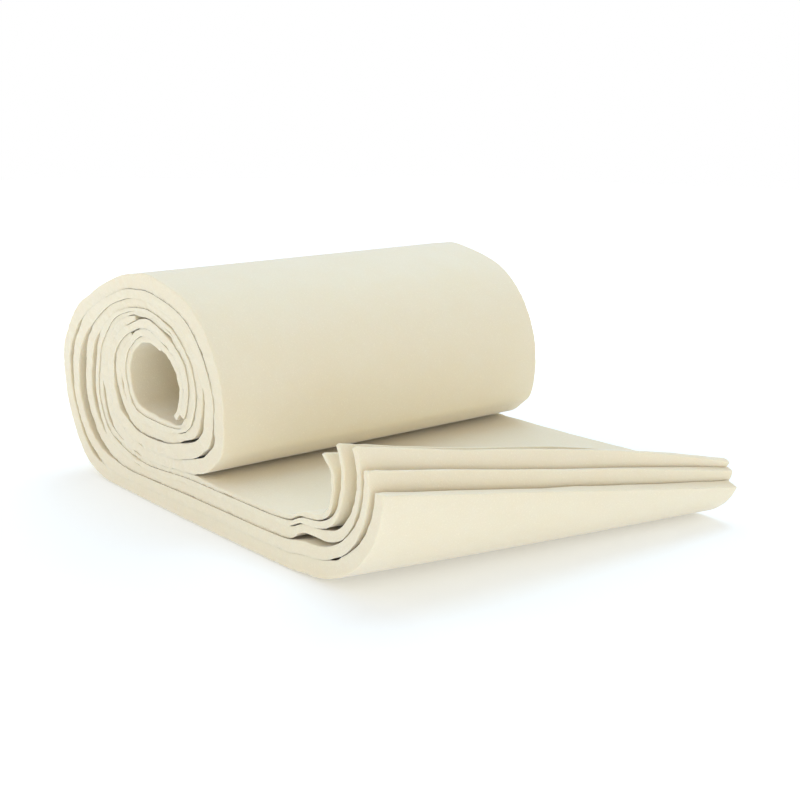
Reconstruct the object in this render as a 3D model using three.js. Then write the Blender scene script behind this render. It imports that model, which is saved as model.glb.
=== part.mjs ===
import * as THREE from 'three';

// A loosely wound roll of five cream felt sheets, lying on its side with a short tail. Millimetres, Z up.
// The roll's axis lies along Y and the tail runs out toward +X, where the sheets' ends curl up, most at -Y.
// Every sheet is one piece of cloth, from its curled end, along the tail, and around to its inner end.

const WIDTH = 150; // the sheets' width, along the roll's axis
const HOLLOW_HEIGHT = 47.3; // the middle of the hollow, above the table
const SPACING = 0.5; // what is left free between two sheets that lie on each other
const FAR_RISE = 0.059; // the roll is this much taller at its +Y end
const FAR_SPREAD = 0.024; // and this much wider
const FAR_SHIFT = 5; // and lies this much nearer the tail
const RELAX_FROM = 10; // the tail lies flat again between these places
const RELAX_TO = 85;
const EDGE_BOW = 0.9; // the tail's cut edge stands out by this much at -Y
const BOW_MIDDLE = 30; // and does so most at this place along the tail
const BOW_REACH = 75; // and no more this far from it
const BOW_TOP = 30; // nor this high above the table
const CORNER_LIFT = 0.9; // the tail's corner at -Y is this much off the table
const LIFT_FROM = 84; // and leaves it between these places
const LIFT_TO = 95;
const SEAM_RUN = 18; // the seams' last control points lie this far apart along the tail
const WIDTH_STEPS = 4;
const CURL_STEPS = 12;
const BEND_FROM = 0.87; // the sheets part at the start of the curl, from this part of the tail's length on
const BEND_FULL = 0.98; // to the full here
const BEND_RUN = 28; // and no more this far along the curl
const HOOK_FROM = 0.75; // a sheet's end hooks toward the roll over the last part of its own curl
const TAIL_PLACES = [0.9, 0.82, 0.5, 0.25]; // the steps along the tail, as parts of its length
const ROLL_STEPS = [3, 2, 2, 2, 2]; // to each row of the tables, for each sheet
const LAST_STEP = 0.2; // the shortest step before a sheet's inner end, in rows
const SLANT_STEP = 0.2; // and the step over which a seam's direction is taken

// From the outside of the roll inward, which in the tail is from the bottom up. near and far are how much of
// the curl the sheet follows at -Y and +Y, full how much more half way, and edge how far it stands out of the
// roll's ends. At -Y, parts is how far it parts from the one outside it where the curl starts and swells how
// much thicker it is there, fan is how far it stands off at the curl's end, tip what it thins to, and hook
// how far its end hooks back.
const SHEETS = [
  { near: 54.5, far: 24.5, full: 0.5, edge: 0, parts: 0, swells: 0.7, fan: 0, tip: 4.1, hook: 0 },
  { near: 61.5, far: 28.5, full: 1.5, edge: 0.3, parts: 0, swells: 0.7, fan: 1.7, tip: 2.3, hook: 0 },
  { near: 71.2, far: 31.0, full: 2.5, edge: -0.3, parts: 1.9, swells: -0.8, fan: 1.3, tip: 2.2, hook: 0 },
  { near: 76.6, far: 28.0, full: 2.0, edge: 0.2, parts: 0, swells: 0.2, fan: 4.3, tip: 1.6, hook: 0 },
  { near: 72.0, far: 24.7, full: 1.0, edge: -0.2, parts: 0, swells: 0, fan: 3.2, tip: 1.6, hook: 3.5 },
];

// How the same sheets are wound. loose is the felt's thickness at each of LOOSE_TURNS, where it has the room,
// and lies is where in it the sheet lies, from 0 outward to 1 inward. At the turn innerEnd it stops inside.
const LOOSE_TURNS = [90, 270, 450, 630];
const WOUND = [
  { loose: [5.9, 5.6, 4.3, 4.3], lies: 1, innerEnd: 513 },
  { loose: [5.1, 5.6, 4.0, 2.9], lies: 0.35, innerEnd: 655 },
  { loose: [5.1, 3.2, 3.5, 3.5], lies: 0.8, innerEnd: 497 },
  { loose: [2.5, 2.2, 2.8, 2.8], lies: 1, innerEnd: 666 },
  { loose: [2.5, 2.3, 2.7, 2.7], lies: 0.2, innerEnd: 570 },
];

// The curl that the lowest sheet follows at each end of the roll. from is where it leaves the table, measured
// from the hollow, and lean the slope in degrees at which the bend ends.
const CURL = {
  near: { from: 93.1, radius: 35.5, lean: 135 },
  far: { from: 132, radius: 20, lean: 66 },
};

// The heights above the table of the sheets' faces in the tail, where the roll doesn't press on it: the lower
// face of sheet 1, the seams between the sheets, and the upper face of sheet 5.
const TAIL_SEAMS = [0, 5.5, 9.6, 13.8, 15.8, 17.7];

// Where the seams between the sheets lie, measured from the middle of the hollow. turn is 0 straight down,
// 90 toward the round side, 180 up and 270 toward the tail, and the second turn lies inside the first one.
// outside is the roll's outer face, s12 to s45 the seams between sheets 1 to 5, and inside the inner face.
const COLUMNS = ['turn', 'outside', 's12', 's23', 's34', 's45', 'inside'];
const FIRST_TURN = [
  [0, 47.3, 42.3, 38.2, 34.9, 33.0, 31.2],
  [10, 48.1, 42.8, 38.8, 35.3, 33.4, 31.5],
  [20, 50.3, 44.9, 40.9, 36.8, 34.6, 32.4],
  [30, 54.9, 49.0, 44.0, 38.5, 36.2, 34.1],
  [40, 61.6, 54.6, 48.1, 41.4, 38.6, 36.0],
  [50, 68.4, 60.2, 53.1, 45.5, 42.0, 39.2],
  [60, 71.8, 64.2, 57.0, 48.3, 43.9, 41.5],
  [75, 73.5, 66.9, 57.8, 49.9, 43.5, 40.3],
  [90, 72.6, 64.5, 55.0, 46.7, 40.4, 37.2],
  [100, 67.6, 59.7, 51.0, 44.9, 38.9, 36.0],
  [110, 61.2, 53.3, 46.2, 40.3, 36.2, 33.5],
  [120, 53.3, 46.8, 41.5, 36.4, 34.1, 31.8],
  [130, 48.1, 41.8, 37.8, 33.7, 31.7, 29.7],
  [150, 41.6, 36.0, 32.2, 28.6, 27.1, 25.6],
  [165, 38.9, 33.1, 29.6, 26.3, 24.7, 23.1],
  [180, 38.1, 31.9, 28.3, 25.2, 23.7, 22.2],
  [210, 38.7, 32.6, 28.6, 25.0, 23.2, 21.4],
  [230, 41.6, 35.3, 30.8, 26.5, 24.6, 22.8],
  [250, 44.2, 37.6, 32.6, 28.6, 26.9, 25.2],
  [270, 46.8, 41.1, 35.4, 30.1, 27.9, 25.7],
  [290, 49.0, 42.5, 35.0, 29.2, 27.1, 25.0],
  [300, 47.0, 40.4, 32.6, 28.0, 25.9, 23.8],
  [310, 43.4, 36.9, 28.8, 25.2, 23.3, 21.3],
  [330, 34.6, 30.6, 24.8, 20.5, 18.0, 15.3],
  [345, 31.8, 27.6, 23.0, 18.4, 16.0, 13.6],
];
// The second turn's outside is the first one's inside, so it isn't given again.
const SECOND_TURN = [
  [360, 27.0, 22.4, 17.8, 15.2, 12.6],
  [370, 27.2, 22.7, 18.1, 15.3, 12.6],
  [380, 28.0, 23.4, 18.9, 15.9, 13.0],
  [390, 29.5, 24.7, 19.9, 16.6, 13.6],
  [400, 31.0, 25.8, 21.2, 17.9, 14.6],
  [410, 32.8, 26.2, 21.9, 18.7, 15.4],
  [420, 34.8, 28.0, 22.8, 19.1, 15.9],
  [435, 33.5, 29.2, 23.6, 19.3, 16.1],
  [450, 33.0, 28.7, 23.6, 19.5, 16.4],
  [460, 32.2, 28.0, 23.1, 19.4, 16.4],
  [470, 30.1, 26.4, 22.5, 19.1, 16.2],
  [480, 28.0, 24.3, 21.0, 18.3, 15.6],
  [490, 25.9, 22.5, 19.9, 17.5, 15.0],
  [510, 23.1, 19.9, 19.4, 16.7, 14.1],
  [525, 22.1, 18.9, 18.5, 15.8, 13.2],
  [540, 21.7, 18.2, 17.9, 15.3, 12.9],
  [570, 21.0, 17.2, 16.9, 14.7, 12.7],
  [590, 22.4, 18.9, 18.7, 15.4, 15.4],
  [610, 24.8, 21.2, 20.9, 17.3, 17.3],
  [630, 25.3, 22.2, 21.9, 18.8, 18.8],
  [650, 24.6, 21.7, 21.4, 18.8, 18.8],
  [660, 23.4, 21.1, 20.8, 18.3, 18.3],
  [670, 20.9, 20.4, 20.2, 17.5, 17.5],
  [690, 15.1, 14.9, 14.8, 14.2, 14.2],
];

const SEAMS = COLUMNS.length - 1;
const PER_TURN = FIRST_TURN.length;
const ROWS = [
  ...FIRST_TURN,
  ...SECOND_TURN.map(([turn, ...seams], i) => [turn, FIRST_TURN[i][SEAMS], ...seams]),
];

const mix = (a, b, f) => a + (b - a) * f;
const clamp = (f) => Math.min(1, Math.max(0, f));
const ease = (f) => clamp(f) ** 2 * (3 - 2 * clamp(f));
const radians = THREE.MathUtils.degToRad;

// A seam's control point in the roll's section. Before the first row the seams run flat along the tail.
function control(seam, row) {
  if (row < 0) {
    return new THREE.Vector2(-row * SEAM_RUN, TAIL_SEAMS[seam]);
  }
  const [turn, ...radii] = ROWS[Math.min(row, ROWS.length - 1)];
  const a = radians(turn);
  return new THREE.Vector2(-Math.sin(a) * radii[seam], HOLLOW_HEIGHT - Math.cos(a) * radii[seam]);
}

// A seam's point, at a place given in rows of the table.
function seamPoint(seam, place) {
  const row = Math.floor(place);
  const f = place - row;
  const [p0, p1, p2, p3] = [-1, 0, 1, 2].map((k) => control(seam, row + k));
  const blend = (a, b, c, d) =>
    0.5 * (2 * b + (c - a) * f + (2 * a - 5 * b + 4 * c - d) * f * f + (3 * b - a - 3 * c + d) * f ** 3);
  return new THREE.Vector2(blend(p0.x, p1.x, p2.x, p3.x), blend(p0.y, p1.y, p2.y, p3.y));
}

function placeOfTurn(turn) {
  const row = ROWS.findIndex((r) => r[0] > turn) - 1;
  return row + (turn - ROWS[row][0]) / (ROWS[row + 1][0] - ROWS[row][0]);
}

function looseThickness(sheet, place) {
  const { loose } = WOUND[sheet];
  const row = Math.min(Math.floor(place), ROWS.length - 2);
  const turn = mix(ROWS[row][0], ROWS[row + 1][0], place - row);
  const at = clamp((turn - LOOSE_TURNS[0]) / (LOOSE_TURNS.at(-1) - LOOSE_TURNS[0])) * (loose.length - 1);
  const step = Math.min(Math.floor(at), loose.length - 2);
  return mix(loose[step], loose[step + 1], at - step);
}

// The two faces of a sheet in the roll, outer and inner, at one place. The outer face of sheet 1 is the
// roll's own, until the sheet goes in under itself after the first turn.
function inRoll(sheet, place) {
  const outer = seamPoint(sheet, place);
  const inner = seamPoint(sheet + 1, place);
  const room = outer.distanceTo(inner);
  const across = inner.clone().sub(outer).divideScalar(room);
  const ahead = seamPoint(sheet, place + SLANT_STEP).sub(outer).normalize();
  const outermost = sheet === 0 && place < PER_TURN - 2;
  const inset = outermost ? 0 : SPACING / 2;
  const free = room - inset - SPACING / 2;
  const thickness = Math.min(looseThickness(sheet, place) / Math.abs(across.cross(ahead)), free);
  const start = outermost ? 0 : inset + (free - thickness) * WOUND[sheet].lies;
  return [start, start + thickness].map((depth) => outer.clone().addScaledVector(across, depth));
}

// The heights of a sheet's two faces in the flat tail.
const flatFaces = (sheet) => [
  TAIL_SEAMS[sheet] + (sheet === 0 ? 0 : SPACING / 2),
  TAIL_SEAMS[sheet + 1] - SPACING / 2,
];

// The heights of a sheet's two faces over the face that sheet 1 lies on. bend is how near the start of the
// curl it is, and loose how near its end.
function heights(sheet, bend, loose) {
  let lower = 0;
  let upper = 0;
  for (let k = 0; k <= sheet; k += 1) {
    const { parts, swells, fan, tip } = SHEETS[k];
    const [low, high] = flatFaces(k);
    lower = k === 0 ? 0 : upper + SPACING + parts * bend + fan * loose.near;
    upper = lower + mix(high - low, tip, loose.all) + swells * bend;
  }
  return [lower, upper];
}

// The two faces of a sheet in the curl. f is how far along its own curl it is and v the place along the roll.
function inCurl(sheet, f, v) {
  const from = mix(CURL.near.from, CURL.far.from, v);
  const radius = mix(CURL.near.radius, CURL.far.radius, v);
  const lean = radians(mix(CURL.near.lean, CURL.far.lean, v));
  const { near, far, full, hook } = SHEETS[sheet];
  const along = (mix(near, far, v) + full * 4 * v * (1 - v)) * f;
  const all = ease(along / mix(SHEETS[0].near, SHEETS[0].far, v));
  const slope = Math.min(along / radius, lean);
  const straight = along - slope * radius;
  const bend = (1 - v) ** 2 * (1 - ease(along / BEND_RUN));
  const back = hook * (1 - v) ** 2 * ease((f - HOOK_FROM) / (1 - HOOK_FROM));
  return heights(sheet, bend, { all, near: all * (1 - v) }).map((h) => new THREE.Vector2(
    from + (radius - h) * Math.sin(slope) + straight * Math.cos(slope) - back,
    radius - (radius - h) * Math.cos(slope) + straight * Math.sin(slope),
  ));
}

// The two faces of a sheet at a part of the tail's length.
function inTail(sheet, part, v) {
  const from = mix(CURL.near.from, CURL.far.from, v);
  const bend = (1 - v) ** 2 * ease((part - BEND_FROM) / (BEND_FULL - BEND_FROM));
  return heights(sheet, bend, { all: 0, near: 0 })
    .map((h) => spread(new THREE.Vector2(from * part, h), v, true));
}

// Widens and raises the roll toward its +Y end, and leaves the tail as it is.
function spread(p, v, relaxes) {
  const held = relaxes ? 1 - ease((p.x - RELAX_FROM) / (RELAX_TO - RELAX_FROM)) : 1;
  const x = p.x + (FAR_SPREAD * p.x + FAR_SHIFT) * v * held;
  return new THREE.Vector2(x, Math.max(0, p.y) * (1 + FAR_RISE * v * held));
}

// The sheet's path, as functions of the place along the roll that give its outer and inner points.
function stations(sheet) {
  const list = [];
  for (let i = CURL_STEPS; i >= 0; i -= 1) {
    list.push((v) => inCurl(sheet, i / CURL_STEPS, v));
  }
  for (const part of TAIL_PLACES) {
    list.push((v) => inTail(sheet, part, v));
  }
  const end = placeOfTurn(WOUND[sheet].innerEnd);
  for (let i = 0; i / ROLL_STEPS[sheet] < end - LAST_STEP; i += 1) {
    const place = i / ROLL_STEPS[sheet];
    list.push((v) => inRoll(sheet, place).map((p) => spread(p, v, false)));
  }
  list.push((v) => inRoll(sheet, end).map((p) => spread(p, v, false)));
  return list;
}

// How far the tail's cut edge at -Y bows out, and how far its corner is off the table.
function bow(p) {
  const along = Math.max(0, 1 - ((p.x - BOW_MIDDLE) / BOW_REACH) ** 2);
  return EDGE_BOW * along * (1 - ease(p.y / (BOW_TOP / 2) - 1));
}
const lift = (p, v) => CORNER_LIFT * ease((p.x - LIFT_FROM) / (LIFT_TO - LIFT_FROM)) * (1 - v) ** 3;

function sheetGeometry(sheet) {
  const path = stations(sheet);
  const { edge } = SHEETS[sheet];
  const points = [];
  for (const at of path) {
    for (let j = 0; j <= WIDTH_STEPS; j += 1) {
      const v = j / WIDTH_STEPS;
      for (const p of at(v)) {
        const side = (v * 2 - 1) * (WIDTH / 2 + edge) - (v === 0 ? bow(p) : 0);
        points.push(p.x, side, p.y + lift(p, v));
      }
    }
  }
  const across = (WIDTH_STEPS + 1) * 2;
  const corner = (i, j, face) => i * across + j * 2 + face;
  const faces = [];
  const quad = (a, b, c, d) => faces.push(a, b, c, a, c, d);
  for (let i = 0; i < path.length - 1; i += 1) {
    for (let j = 0; j < WIDTH_STEPS; j += 1) {
      quad(corner(i, j, 0), corner(i + 1, j, 0), corner(i + 1, j + 1, 0), corner(i, j + 1, 0));
      quad(corner(i, j, 1), corner(i, j + 1, 1), corner(i + 1, j + 1, 1), corner(i + 1, j, 1));
    }
    quad(corner(i, 0, 0), corner(i, 0, 1), corner(i + 1, 0, 1), corner(i + 1, 0, 0));
    const j = WIDTH_STEPS;
    quad(corner(i, j, 0), corner(i + 1, j, 0), corner(i + 1, j, 1), corner(i, j, 1));
  }
  const last = path.length - 1;
  for (let j = 0; j < WIDTH_STEPS; j += 1) {
    quad(corner(0, j, 0), corner(0, j + 1, 0), corner(0, j + 1, 1), corner(0, j, 1));
    quad(corner(last, j, 0), corner(last, j, 1), corner(last, j + 1, 1), corner(last, j + 1, 0));
  }
  const geometry = new THREE.BufferGeometry();
  geometry.setAttribute('position', new THREE.Float32BufferAttribute(points, 3));
  geometry.setIndex(faces);
  geometry.computeVertexNormals();
  return geometry;
}

const roll = new THREE.Group();
roll.name = 'roll_of_felt';
SHEETS.forEach((_, sheet) => {
  const felt = new THREE.MeshStandardMaterial({ color: 0xefe6d2, roughness: 0.95, metalness: 0 });
  const mesh = new THREE.Mesh(sheetGeometry(sheet), felt);
  mesh.name = `felt_sheet_${sheet + 1}`;
  roll.add(mesh);
});

// The origin is the middle of the footprint, on the table.
const box = new THREE.Box3().setFromObject(roll);
const middle = box.getCenter(new THREE.Vector3());
roll.children.forEach((mesh) => mesh.position.set(-middle.x, -middle.y, 0));

export default roll;
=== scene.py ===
import math

import bmesh
import bpy
import numpy as np
from mathutils import Matrix, Vector, noise
from mathutils.bvhtree import BVHTree


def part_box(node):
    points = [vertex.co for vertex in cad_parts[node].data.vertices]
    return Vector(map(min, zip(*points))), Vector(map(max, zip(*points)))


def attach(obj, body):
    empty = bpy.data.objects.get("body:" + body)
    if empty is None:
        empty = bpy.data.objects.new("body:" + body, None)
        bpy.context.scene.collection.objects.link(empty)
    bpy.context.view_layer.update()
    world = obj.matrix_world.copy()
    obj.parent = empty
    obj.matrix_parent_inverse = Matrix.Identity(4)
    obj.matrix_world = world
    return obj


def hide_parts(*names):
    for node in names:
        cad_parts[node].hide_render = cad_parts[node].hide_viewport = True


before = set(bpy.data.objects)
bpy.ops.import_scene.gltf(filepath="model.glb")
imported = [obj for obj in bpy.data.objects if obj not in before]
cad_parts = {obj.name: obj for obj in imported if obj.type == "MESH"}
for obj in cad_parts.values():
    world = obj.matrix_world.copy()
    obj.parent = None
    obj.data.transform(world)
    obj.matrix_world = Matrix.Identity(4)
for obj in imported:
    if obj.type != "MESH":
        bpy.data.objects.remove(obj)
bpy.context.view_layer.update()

# A loosely wound roll of five felt sheets with a short curled tail. Metres, Z up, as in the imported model.
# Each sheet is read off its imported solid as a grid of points, drawn through them again with finer steps,
# and given rounded, slightly ragged cut edges and the soft unevenness of felt.

MM = 0.001
WIDTH_STEPS = 4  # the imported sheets' steps across their width
SAME_POINT = 0.01 * MM

# The felt's own steps. Those across the width and through the thickness are close together at the cut edges.
STEP = 0.6 * MM  # along the sheet
FROM_TIP = [0.1, 0.25, 0.45]  # more steps near its two ends, in mm
FROM_EDGE = [0, 0.1, 0.25, 0.5, 0.9, 1.5, 2.5, 4, 6, 9, 13, 19, 27, 37.5, 50, 62.5]  # across it, in mm
THROUGH = [0, 0.03, 0.08, 0.16, 0.3, 0.5, 0.7, 0.84, 0.92, 0.97, 1]  # parts of its thickness

# Cut edges. In most stretches of a narrow seam the edges are full and swell until they nearly close it.
EDGE_RADIUS = 0.5 * MM
CLOSED_RADIUS = 0.02 * MM
CLOSED_DEPTH = 1.2 * MM  # how far in from the cut edge the swelling reaches
CLOSED_GAP = 1.7 * MM  # a seam this wide stays open, and one half as wide can close
CLOSED_LEFT = 0.015 * MM  # half the width that is left of a closed seam
CLOSED_RUN = 9 * MM  # the size of the stretches
CLOSED_SHARE = 1.5  # over 0.5 where most of the edge closes
CLOSED_SPREAD = 2.2  # how much it differs from stretch to stretch
ENDS_APART = 80 * MM  # gives the roll's two ends different stretches
MEASURED_AT = 2.5  # how far in from the cut edge a seam's width is measured, in mm, one of FROM_EDGE
SMOOTHED_OVER = 4  # steps along the sheet, both ways
RAGGED = [(2.6 * MM, 0.22 * MM), (0.9 * MM, 0.13 * MM)]  # size and height of what stands out of a cut edge

# Wide faces: long low ridges along the roll's axis, and small lumps.
RIDGE = ((8 * MM, 90 * MM, 8 * MM), 0.10 * MM)
LUMPS = (3.5 * MM, 0.03 * MM)

SEED_STEP = 17.3  # how far apart in the noise two seeds are

# The photograph's camera.
CAMERA_PLACE = (0.30721, -0.26533, 0.12905)
CAMERA_TURN = 47.934
CAMERA_PITCH = 12.882
CAMERA_ROLL = 0.812
CAMERA_LENS = 48.69

FLOOR_REACH = 4.0
FLOOR_GAP = 0.5 * MM
# Painted light: the floor glows. The glow is weaker under the roll, as painted shade, and stronger far off,
# where it stands in for the lamps' light.
FLOOR_PAINTED_GLOW = (0.19, 0.52)  # under the roll, and where the lamps' light no longer reaches
GLOW_REACH = (0.12, 0.45)  # the distances from the part's middle where the two hold

# The studio: a white room that the camera sees at full strength, and round soft lamps.
ROOM_LIGHT = 0.60
LAMPS = [  # name, place, aim, size, power, colour
    ("overhead", (-0.2, 0.3, 0.9), (0, 0, 0.04), 0.9, 4.1, (0.64, 0.84, 1.0)),
    ("front", (-0.38, -0.36, 0.28), (0, 0, 0.04), 0.5, 0.42, (1, 1, 1)),
    ("side", (0.8, -0.35, 0.2), (0, 0, 0.03), 0.6, 1.1, (1, 1, 1)),
]


def walk(ring, beside):
    """The ring's points in order, from any one of them."""
    order = [ring[0], beside(ring[0])[0]]
    while len(order) < len(ring):
        order += [v for v in beside(order[-1]) if v != order[-2]][:1]
    return np.array([v.co for v in order])


def from_tip(ring):
    """The same ring, starting at the lower corner of the sheet's outer end, along the lower face first."""
    back = ring - np.roll(ring, 1, axis=0)
    on = np.roll(ring, -1, axis=0) - ring
    lengths = np.linalg.norm(back, axis=1) * np.linalg.norm(on, axis=1)
    straightness = (back * on).sum(axis=1) / lengths
    corners = sorted(np.argsort(straightness)[:4], key=lambda i: -ring[i][0])[:2]
    start, top = sorted(corners, key=lambda i: -ring[i][0])
    ring = np.roll(ring, -start, axis=0)
    if (top - start) % len(ring) == 1:
        ring = np.roll(ring[::-1], 1, axis=0)
    return ring


def packed_grid(node):
    """A packed sheet's points, as [along it, from its outer end][across its width][lower or upper face]."""
    solid = bmesh.new()
    solid.from_mesh(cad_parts[node].data)
    bmesh.ops.remove_doubles(solid, verts=solid.verts, dist=SAME_POINT)
    low, high = (corner[1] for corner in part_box(node))
    level = {v: round((v.co.y - low) / (high - low) * WIDTH_STEPS) for v in solid.verts}

    def beside(v):
        found = []
        for edge in v.link_edges:
            other = edge.other_vert(v)
            around = {level[u] for face in edge.link_faces for u in face.verts}
            if level[other] == level[v] and len(around) > 1:
                found.append(other)
        return found

    columns = []
    for j in range(WIDTH_STEPS + 1):
        ring = from_tip(walk([v for v in solid.verts if level[v] == j], beside))
        half = len(ring) // 2
        columns.append(np.stack([ring[:half], ring[half:][::-1]], axis=1))
    solid.free()
    return np.stack(columns, axis=1)


def along(grid, step):
    """The grid with even steps along the sheet, and each step's distance from its outer end."""
    legs = np.linalg.norm(np.diff(grid, axis=0), axis=3).mean(axis=(1, 2))
    at = np.concatenate([[0], np.cumsum(legs)])
    near = np.array(FROM_TIP) * MM
    inner = np.linspace(0, at[-1], round(at[-1] / step) + 1)[1:-1]
    places = np.concatenate([[0], near, inner, at[-1] - near[::-1], [at[-1]]])
    slope = np.diff(grid, axis=0) / legs[:, None, None, None]
    share = (legs[:-1] / (legs[:-1] + legs[1:]))[:, None, None, None]
    middle = slope[:-1] * (1 - share) + slope[1:] * share
    slopes = np.concatenate([slope[:1], middle, slope[-1:]])
    k = np.clip(np.searchsorted(at, places, side="right") - 1, 0, len(legs) - 1)
    f = ((places - at[k]) / legs[k])[:, None, None, None]
    leg = legs[k][:, None, None, None]
    start = (1 + 2 * f) * (1 - f) ** 2 * grid[k] + f * (1 - f) ** 2 * leg * slopes[k]
    end = f**2 * (3 - 2 * f) * grid[k + 1] - f**2 * (1 - f) * leg * slopes[k + 1]
    return start + end, places


def across(grid, parts):
    """The grid with its width divided at these parts of it."""
    padded = np.concatenate([2 * grid[:, :1] - grid[:, 1:2], grid, 2 * grid[:, -1:] - grid[:, -2:-1]], axis=1)
    columns = []
    for part in parts:
        j = min(int(part * WIDTH_STEPS), WIDTH_STEPS - 1)
        f = part * WIDTH_STEPS - j
        a, b, c, d = (padded[:, j + i] for i in range(4))
        columns.append(b + 0.5 * f * (c - a + f * (2 * a - 5 * b + 4 * c - d + f * (3 * (b - c) + d - a))))
    return np.stack(columns, axis=1)


def unit(vectors):
    return vectors / np.linalg.norm(vectors, axis=-1, keepdims=True)


def uneven(points, size, seed):
    """Smooth noise from -1 to 1 at each point, with bumps of about this size."""
    return np.array([noise.noise(p) for p in points / size + seed * SEED_STEP])


def ease(f):
    f = np.clip(f, 0, 1)
    return f * f * (3 - 2 * f)


def block_skin(shape):
    """The lattice points on a block's surface, and the surface's quads, facing outward."""
    on = np.zeros(shape, bool)
    on[[0, -1]] = True
    on[:, [0, -1]] = True
    on[:, :, [0, -1]] = True
    number = np.full(shape, -1)
    number[on] = np.arange(on.sum())

    def quads(side, flip):
        corners = [side[:-1, :-1], side[1:, :-1], side[1:, 1:], side[:-1, 1:]]
        found = np.stack(corners, axis=-1).reshape(-1, 4)
        return found[:, ::-1] if flip else found

    sides = [
        quads(number[0], False),
        quads(number[-1], True),
        quads(number[:, 0], True),
        quads(number[:, -1], False),
        quads(number[:, :, 0], False),
        quads(number[:, :, -1], True),
    ]
    return np.argwhere(on), np.concatenate(sides)


def over_window(values, gather):
    """The least, or the mean, of the values at each step and at those just beside it."""
    padded = np.pad(values, ((SMOOTHED_OVER, SMOOTHED_OVER), (0, 0), (0, 0)), mode="edge")
    return gather([padded[n : n + len(values)] for n in range(2 * SMOOTHED_OVER + 1)], axis=0)


def seam_widths(lower, upper, others):
    """How far it is to the next sheet, as [along the sheet][near or far cut edge][lower or upper face]."""
    found = np.full((len(lower), 2, 2), CLOSED_GAP)
    inside = FROM_EDGE.index(MEASURED_AT)
    for side, j in enumerate((inside, -1 - inside)):
        for i, (a, b) in enumerate(zip(lower[:, j], upper[:, j])):
            up = Vector(b - a).normalized()
            for face, (start, way) in enumerate(((a, -up), (b, up))):
                distance = others.ray_cast(Vector(start), way, CLOSED_GAP)[3]
                if distance is not None:
                    found[i, side, face] = distance
    return over_window(over_window(found, np.min), np.mean)


def felt_points(grid, others, seed):
    """The points of one felt sheet's surface, and its quads. others is what it must stay clear of."""
    fine, place = along(grid, STEP)
    width = np.ptp(grid[..., 1])
    edge = np.array(FROM_EDGE) * MM
    from_low = np.concatenate([edge, [width / 2], width - edge[::-1]])
    fine = across(fine, from_low / width)
    through = np.array(THROUGH)
    at, quads = block_skin((len(place), len(from_low), len(through)))
    i, j, k = at.T

    lower, upper = fine[:, :, 0], fine[:, :, 1]
    middle = (lower + upper) / 2
    direction = [
        unit(np.gradient(middle, axis=0))[i, j],
        unit(np.gradient(middle, axis=1))[i, j],
        unit(upper - lower)[i, j],
    ]
    thickness = np.linalg.norm(upper - lower, axis=-1)[i, j]
    distance = np.stack([
        np.minimum(place, place[-1] - place)[i],
        np.minimum(from_low, width - from_low)[j],
        np.minimum(through, 1 - through)[k] * thickness,
    ])
    inward = np.stack([
        np.where(place < place[-1] / 2, 1, -1)[i],
        np.where(from_low < width / 2, 1, -1)[j],
        np.where(through < 0.5, 1, -1)[k],
    ])
    points = lower[i, j] * (1 - through[k])[:, None] + upper[i, j] * through[k][:, None]

    # Where the cut edge is full, as seen along the roll's axis, and different at its two ends.
    section = points * [1, 0, 1] + (inward[1] * ENDS_APART / 2)[:, None] * [0, 1, 0]
    gap = seam_widths(lower, upper, others)[i, (inward[1] < 0).astype(int), (inward[2] < 0).astype(int)]
    closed = ease(CLOSED_SHARE + CLOSED_SPREAD * uneven(section, CLOSED_RUN, 1))
    closed *= ease(2 - 2 * gap / CLOSED_GAP)

    radius = EDGE_RADIUS + (CLOSED_RADIUS - EDGE_RADIUS) * closed
    over = np.maximum(0, radius - distance)
    flat = np.linalg.norm(over, axis=0)
    round_off = over * (1 - over.max(axis=0) / np.where(flat > 0, flat, 1))

    ragged = sum(height * uneven(points, size, seed + n) for n, (size, height) in enumerate(RAGGED))
    wide = RIDGE[1] * uneven(points, RIDGE[0], seed) + LUMPS[1] * uneven(points, LUMPS[0], seed)
    pressed = closed * np.exp(-distance[1] / CLOSED_DEPTH)
    wide = wide * (1 - pressed) + (gap / 2 - CLOSED_LEFT) * pressed
    proud = [ragged, ragged, wide]
    for axis in range(3):
        face = np.clip(1 - distance[axis] / EDGE_RADIUS, 0, 1)
        move = round_off[axis] - proud[axis] * face
        points = points + (inward[axis] * move)[:, None] * direction[axis]
    points[:, 2] = np.maximum(points[:, 2], 0)
    return points, quads


def packed_tree(nodes):
    """All faces of these packed sheets, to measure distances to."""
    points = []
    faces = []
    for node in nodes:
        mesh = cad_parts[node].data
        faces += [[v + len(points) for v in face.vertices] for face in mesh.polygons]
        points += [v.co for v in mesh.vertices]
    return BVHTree.FromPolygons(points, faces)


def mesh_object(name, points, faces):
    mesh = bpy.data.meshes.new(name)
    mesh.from_pydata(points.tolist(), [], faces.tolist())
    mesh.validate()
    mesh.shade_smooth()
    made = bpy.data.objects.new(name, mesh)
    bpy.context.scene.collection.objects.link(made)
    return made


def new_node(tree, kind, inputs=(), **settings):
    node = tree.nodes.new("ShaderNode" + kind)
    for name, value in settings.items():
        setattr(node, name, value)
    for name, value in dict(inputs).items():
        if isinstance(value, bpy.types.NodeSocket):
            tree.links.new(value, node.inputs[name])
        else:
            node.inputs[name].default_value = value
    return node


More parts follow.
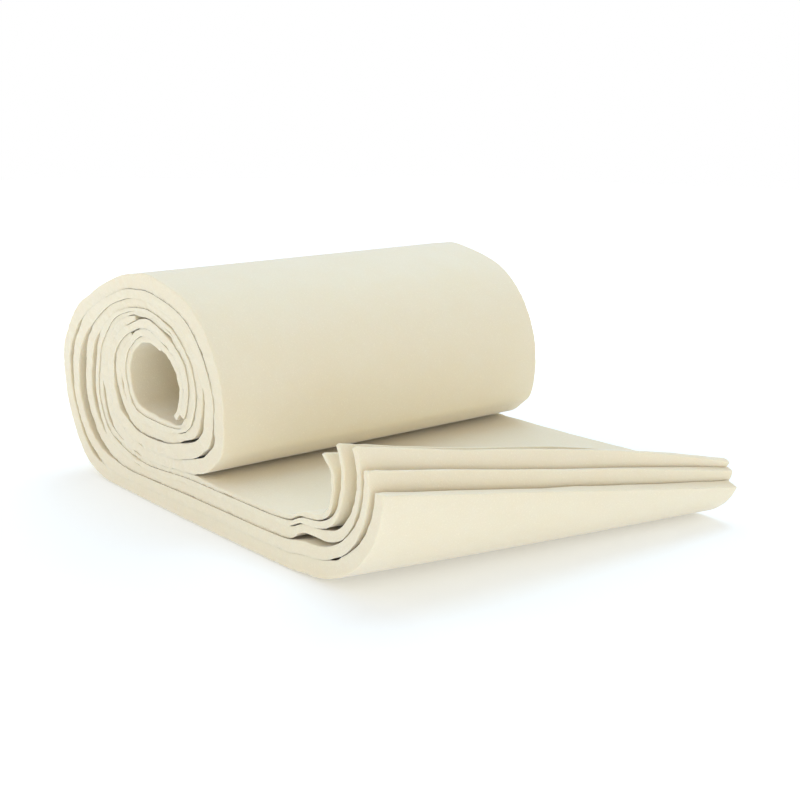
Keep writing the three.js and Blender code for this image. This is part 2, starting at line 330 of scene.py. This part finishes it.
def felt_material():
    """Cream wool felt: matted fibres that run every way, a soft sheen, and light that sinks in a little."""
    material = bpy.data.materials.new("cream_felt")
    material.use_nodes = True
    tree = material.node_tree
    shader = tree.nodes["Principled BSDF"]
    place = new_node(tree, "TexCoord").outputs["Object"]

    # The fibres: thin ridges, bent by a coarser noise so that they wander and cross.
    bend = new_node(tree, "TexNoise", {"Vector": place, "Scale": 700.0, "Detail": 2.0})
    reach = (1.2 * MM,) * 3
    bent = new_node(
        tree,
        "VectorMath",
        {0: bend.outputs["Color"], 1: reach, 2: place},
        operation="MULTIPLY_ADD",
    )
    fibres = new_node(
        tree,
        "TexNoise",
        {"Vector": bent.outputs[0], "Scale": 1800.0, "Detail": 3.0, "Roughness": 0.6},
        noise_type="RIDGED_MULTIFRACTAL",
    )
    clumps = new_node(tree, "TexNoise", {"Vector": place, "Scale": 420.0, "Detail": 3.0, "Roughness": 0.55})
    height = new_node(tree, "MixRGB", {"Fac": 0.45, "Color1": fibres.outputs[0], "Color2": clumps.outputs[0]})
    bump = new_node(tree, "Bump", {"Height": height.outputs[0], "Strength": 0.5, "Distance": 0.00025})

    # The colour: whiter and yellower patches, with the fibres a little lighter than what lies between them.
    patches = new_node(tree, "TexNoise", {"Vector": place, "Scale": 60.0, "Detail": 4.0, "Roughness": 0.6})
    tone = new_node(tree, "ValToRGB", {"Fac": patches.outputs[0]})
    tone.color_ramp.elements[0].position = 0.3
    tone.color_ramp.elements[0].color = (0.952, 0.860, 0.662, 1)
    tone.color_ramp.elements[1].position = 0.7
    tone.color_ramp.elements[1].color = (0.957, 0.878, 0.696, 1)
    thread = new_node(tree, "ValToRGB", {"Fac": fibres.outputs[0]})
    thread.color_ramp.elements[0].color = (0.93, 0.92, 0.90, 1)
    thread.color_ramp.elements[1].position = 0.7
    thread.color_ramp.elements[1].color = (1, 1, 1, 1)
    colour = new_node(
        tree,
        "MixRGB",
        {"Fac": 1.0, "Color1": tone.outputs[0], "Color2": thread.outputs[0]},
        blend_type="MULTIPLY",
    )
    tree.links.new(colour.outputs[0], shader.inputs["Base Color"])
    tree.links.new(bump.outputs[0], shader.inputs["Normal"])
    shader.inputs["Roughness"].default_value = 0.95
    shader.inputs["Specular IOR Level"].default_value = 0.15
    shader.inputs["Subsurface Weight"].default_value = 0.35
    shader.inputs["Subsurface Radius"].default_value = (1.0, 0.82, 0.6)
    shader.inputs["Subsurface Scale"].default_value = 0.0015
    shader.inputs["Sheen Weight"].default_value = 0.6
    shader.inputs["Sheen Roughness"].default_value = 0.35
    shader.inputs["Sheen Tint"].default_value = (0.96, 0.98, 1.0, 1)
    return material


def floor():
    mesh = bpy.data.meshes.new("floor")
    square = ((-1, -1), (1, -1), (1, 1), (-1, 1))
    corners = [(x * FLOOR_REACH, y * FLOOR_REACH, -FLOOR_GAP) for x, y in square]
    mesh.from_pydata(corners, [], [(0, 1, 2, 3)])
    made = bpy.data.objects.new("floor", mesh)
    bpy.context.scene.collection.objects.link(made)
    white = bpy.data.materials.new("white_floor")
    white.use_nodes = True
    shader = white.node_tree.nodes["Principled BSDF"]
    shader.inputs["Base Color"].default_value = (0.92, 0.95, 0.98, 1)
    shader.inputs["Roughness"].default_value = 0.8
    shader.inputs["Specular IOR Level"].default_value = 0.1
    shader.inputs["Emission Color"].default_value = (1, 1, 1, 1)
    tree = white.node_tree
    # Painted light: the floor's glow grows with distance from the part's middle, so painted shade lies around
    # the roll.
    place = new_node(tree, "TexCoord").outputs["Object"]
    reach = new_node(tree, "VectorMath", {0: place}, operation="LENGTH").outputs["Value"]
    glow = {"Value": reach, "From Min": GLOW_REACH[0], "From Max": GLOW_REACH[1]}
    glow |= {"To Min": FLOOR_PAINTED_GLOW[0], "To Max": FLOOR_PAINTED_GLOW[1]}
    strength = new_node(tree, "MapRange", glow)
    tree.links.new(strength.outputs[0], shader.inputs["Emission Strength"])
    mesh.materials.append(white)


def softbox(name, place, aim, size, power, colour):
    data = bpy.data.lights.new(name, "AREA")
    data.shape = "DISK"
    data.size = size
    data.energy = power
    data.color = colour
    lamp = bpy.data.objects.new(name, data)
    bpy.context.scene.collection.objects.link(lamp)
    lamp.visible_camera = False
    lamp.location = place
    lamp.rotation_euler = (Vector(place) - Vector(aim)).to_track_quat("Z", "Y").to_euler()


def lights():
    world = bpy.data.worlds.new("studio")
    world.use_nodes = True
    tree = world.node_tree
    seen = new_node(tree, "LightPath").outputs["Is Camera Ray"]
    strength = new_node(tree, "MapRange", {"Value": seen, "To Min": ROOM_LIGHT, "To Max": 1.0})
    tree.links.new(strength.outputs[0], tree.nodes["Background"].inputs["Strength"])
    tree.nodes["Background"].inputs["Color"].default_value = (1, 1, 1, 1)
    bpy.context.scene.world = world
    for lamp in LAMPS:
        softbox(*lamp)
    bpy.context.scene.view_settings.view_transform = "Standard"


def camera():
    data = bpy.data.cameras.new("camera")
    data.lens = CAMERA_LENS
    data.clip_start = 0.01
    made = bpy.data.objects.new("camera", data)
    turn = Matrix.Rotation(math.radians(CAMERA_TURN), 4, "Z")
    pitch = Matrix.Rotation(math.radians(90 - CAMERA_PITCH), 4, "X")
    roll = Matrix.Rotation(math.radians(CAMERA_ROLL), 4, "Z")
    made.matrix_world = Matrix.Translation(CAMERA_PLACE) @ turn @ pitch @ roll
    bpy.context.scene.collection.objects.link(made)
    bpy.context.scene.camera = made


felt = felt_material()
names = sorted(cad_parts)
for number, node in enumerate(names):
    grid = packed_grid(node)
    others = packed_tree([other for other in names if other != node])
    points, quads = felt_points(grid, others, number + 1)
    piece = mesh_object("felt_" + str(number + 1), points, quads)
    piece.data.materials.append(felt)
    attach(piece, "root")
    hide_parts(node)

floor()
lights()
camera()
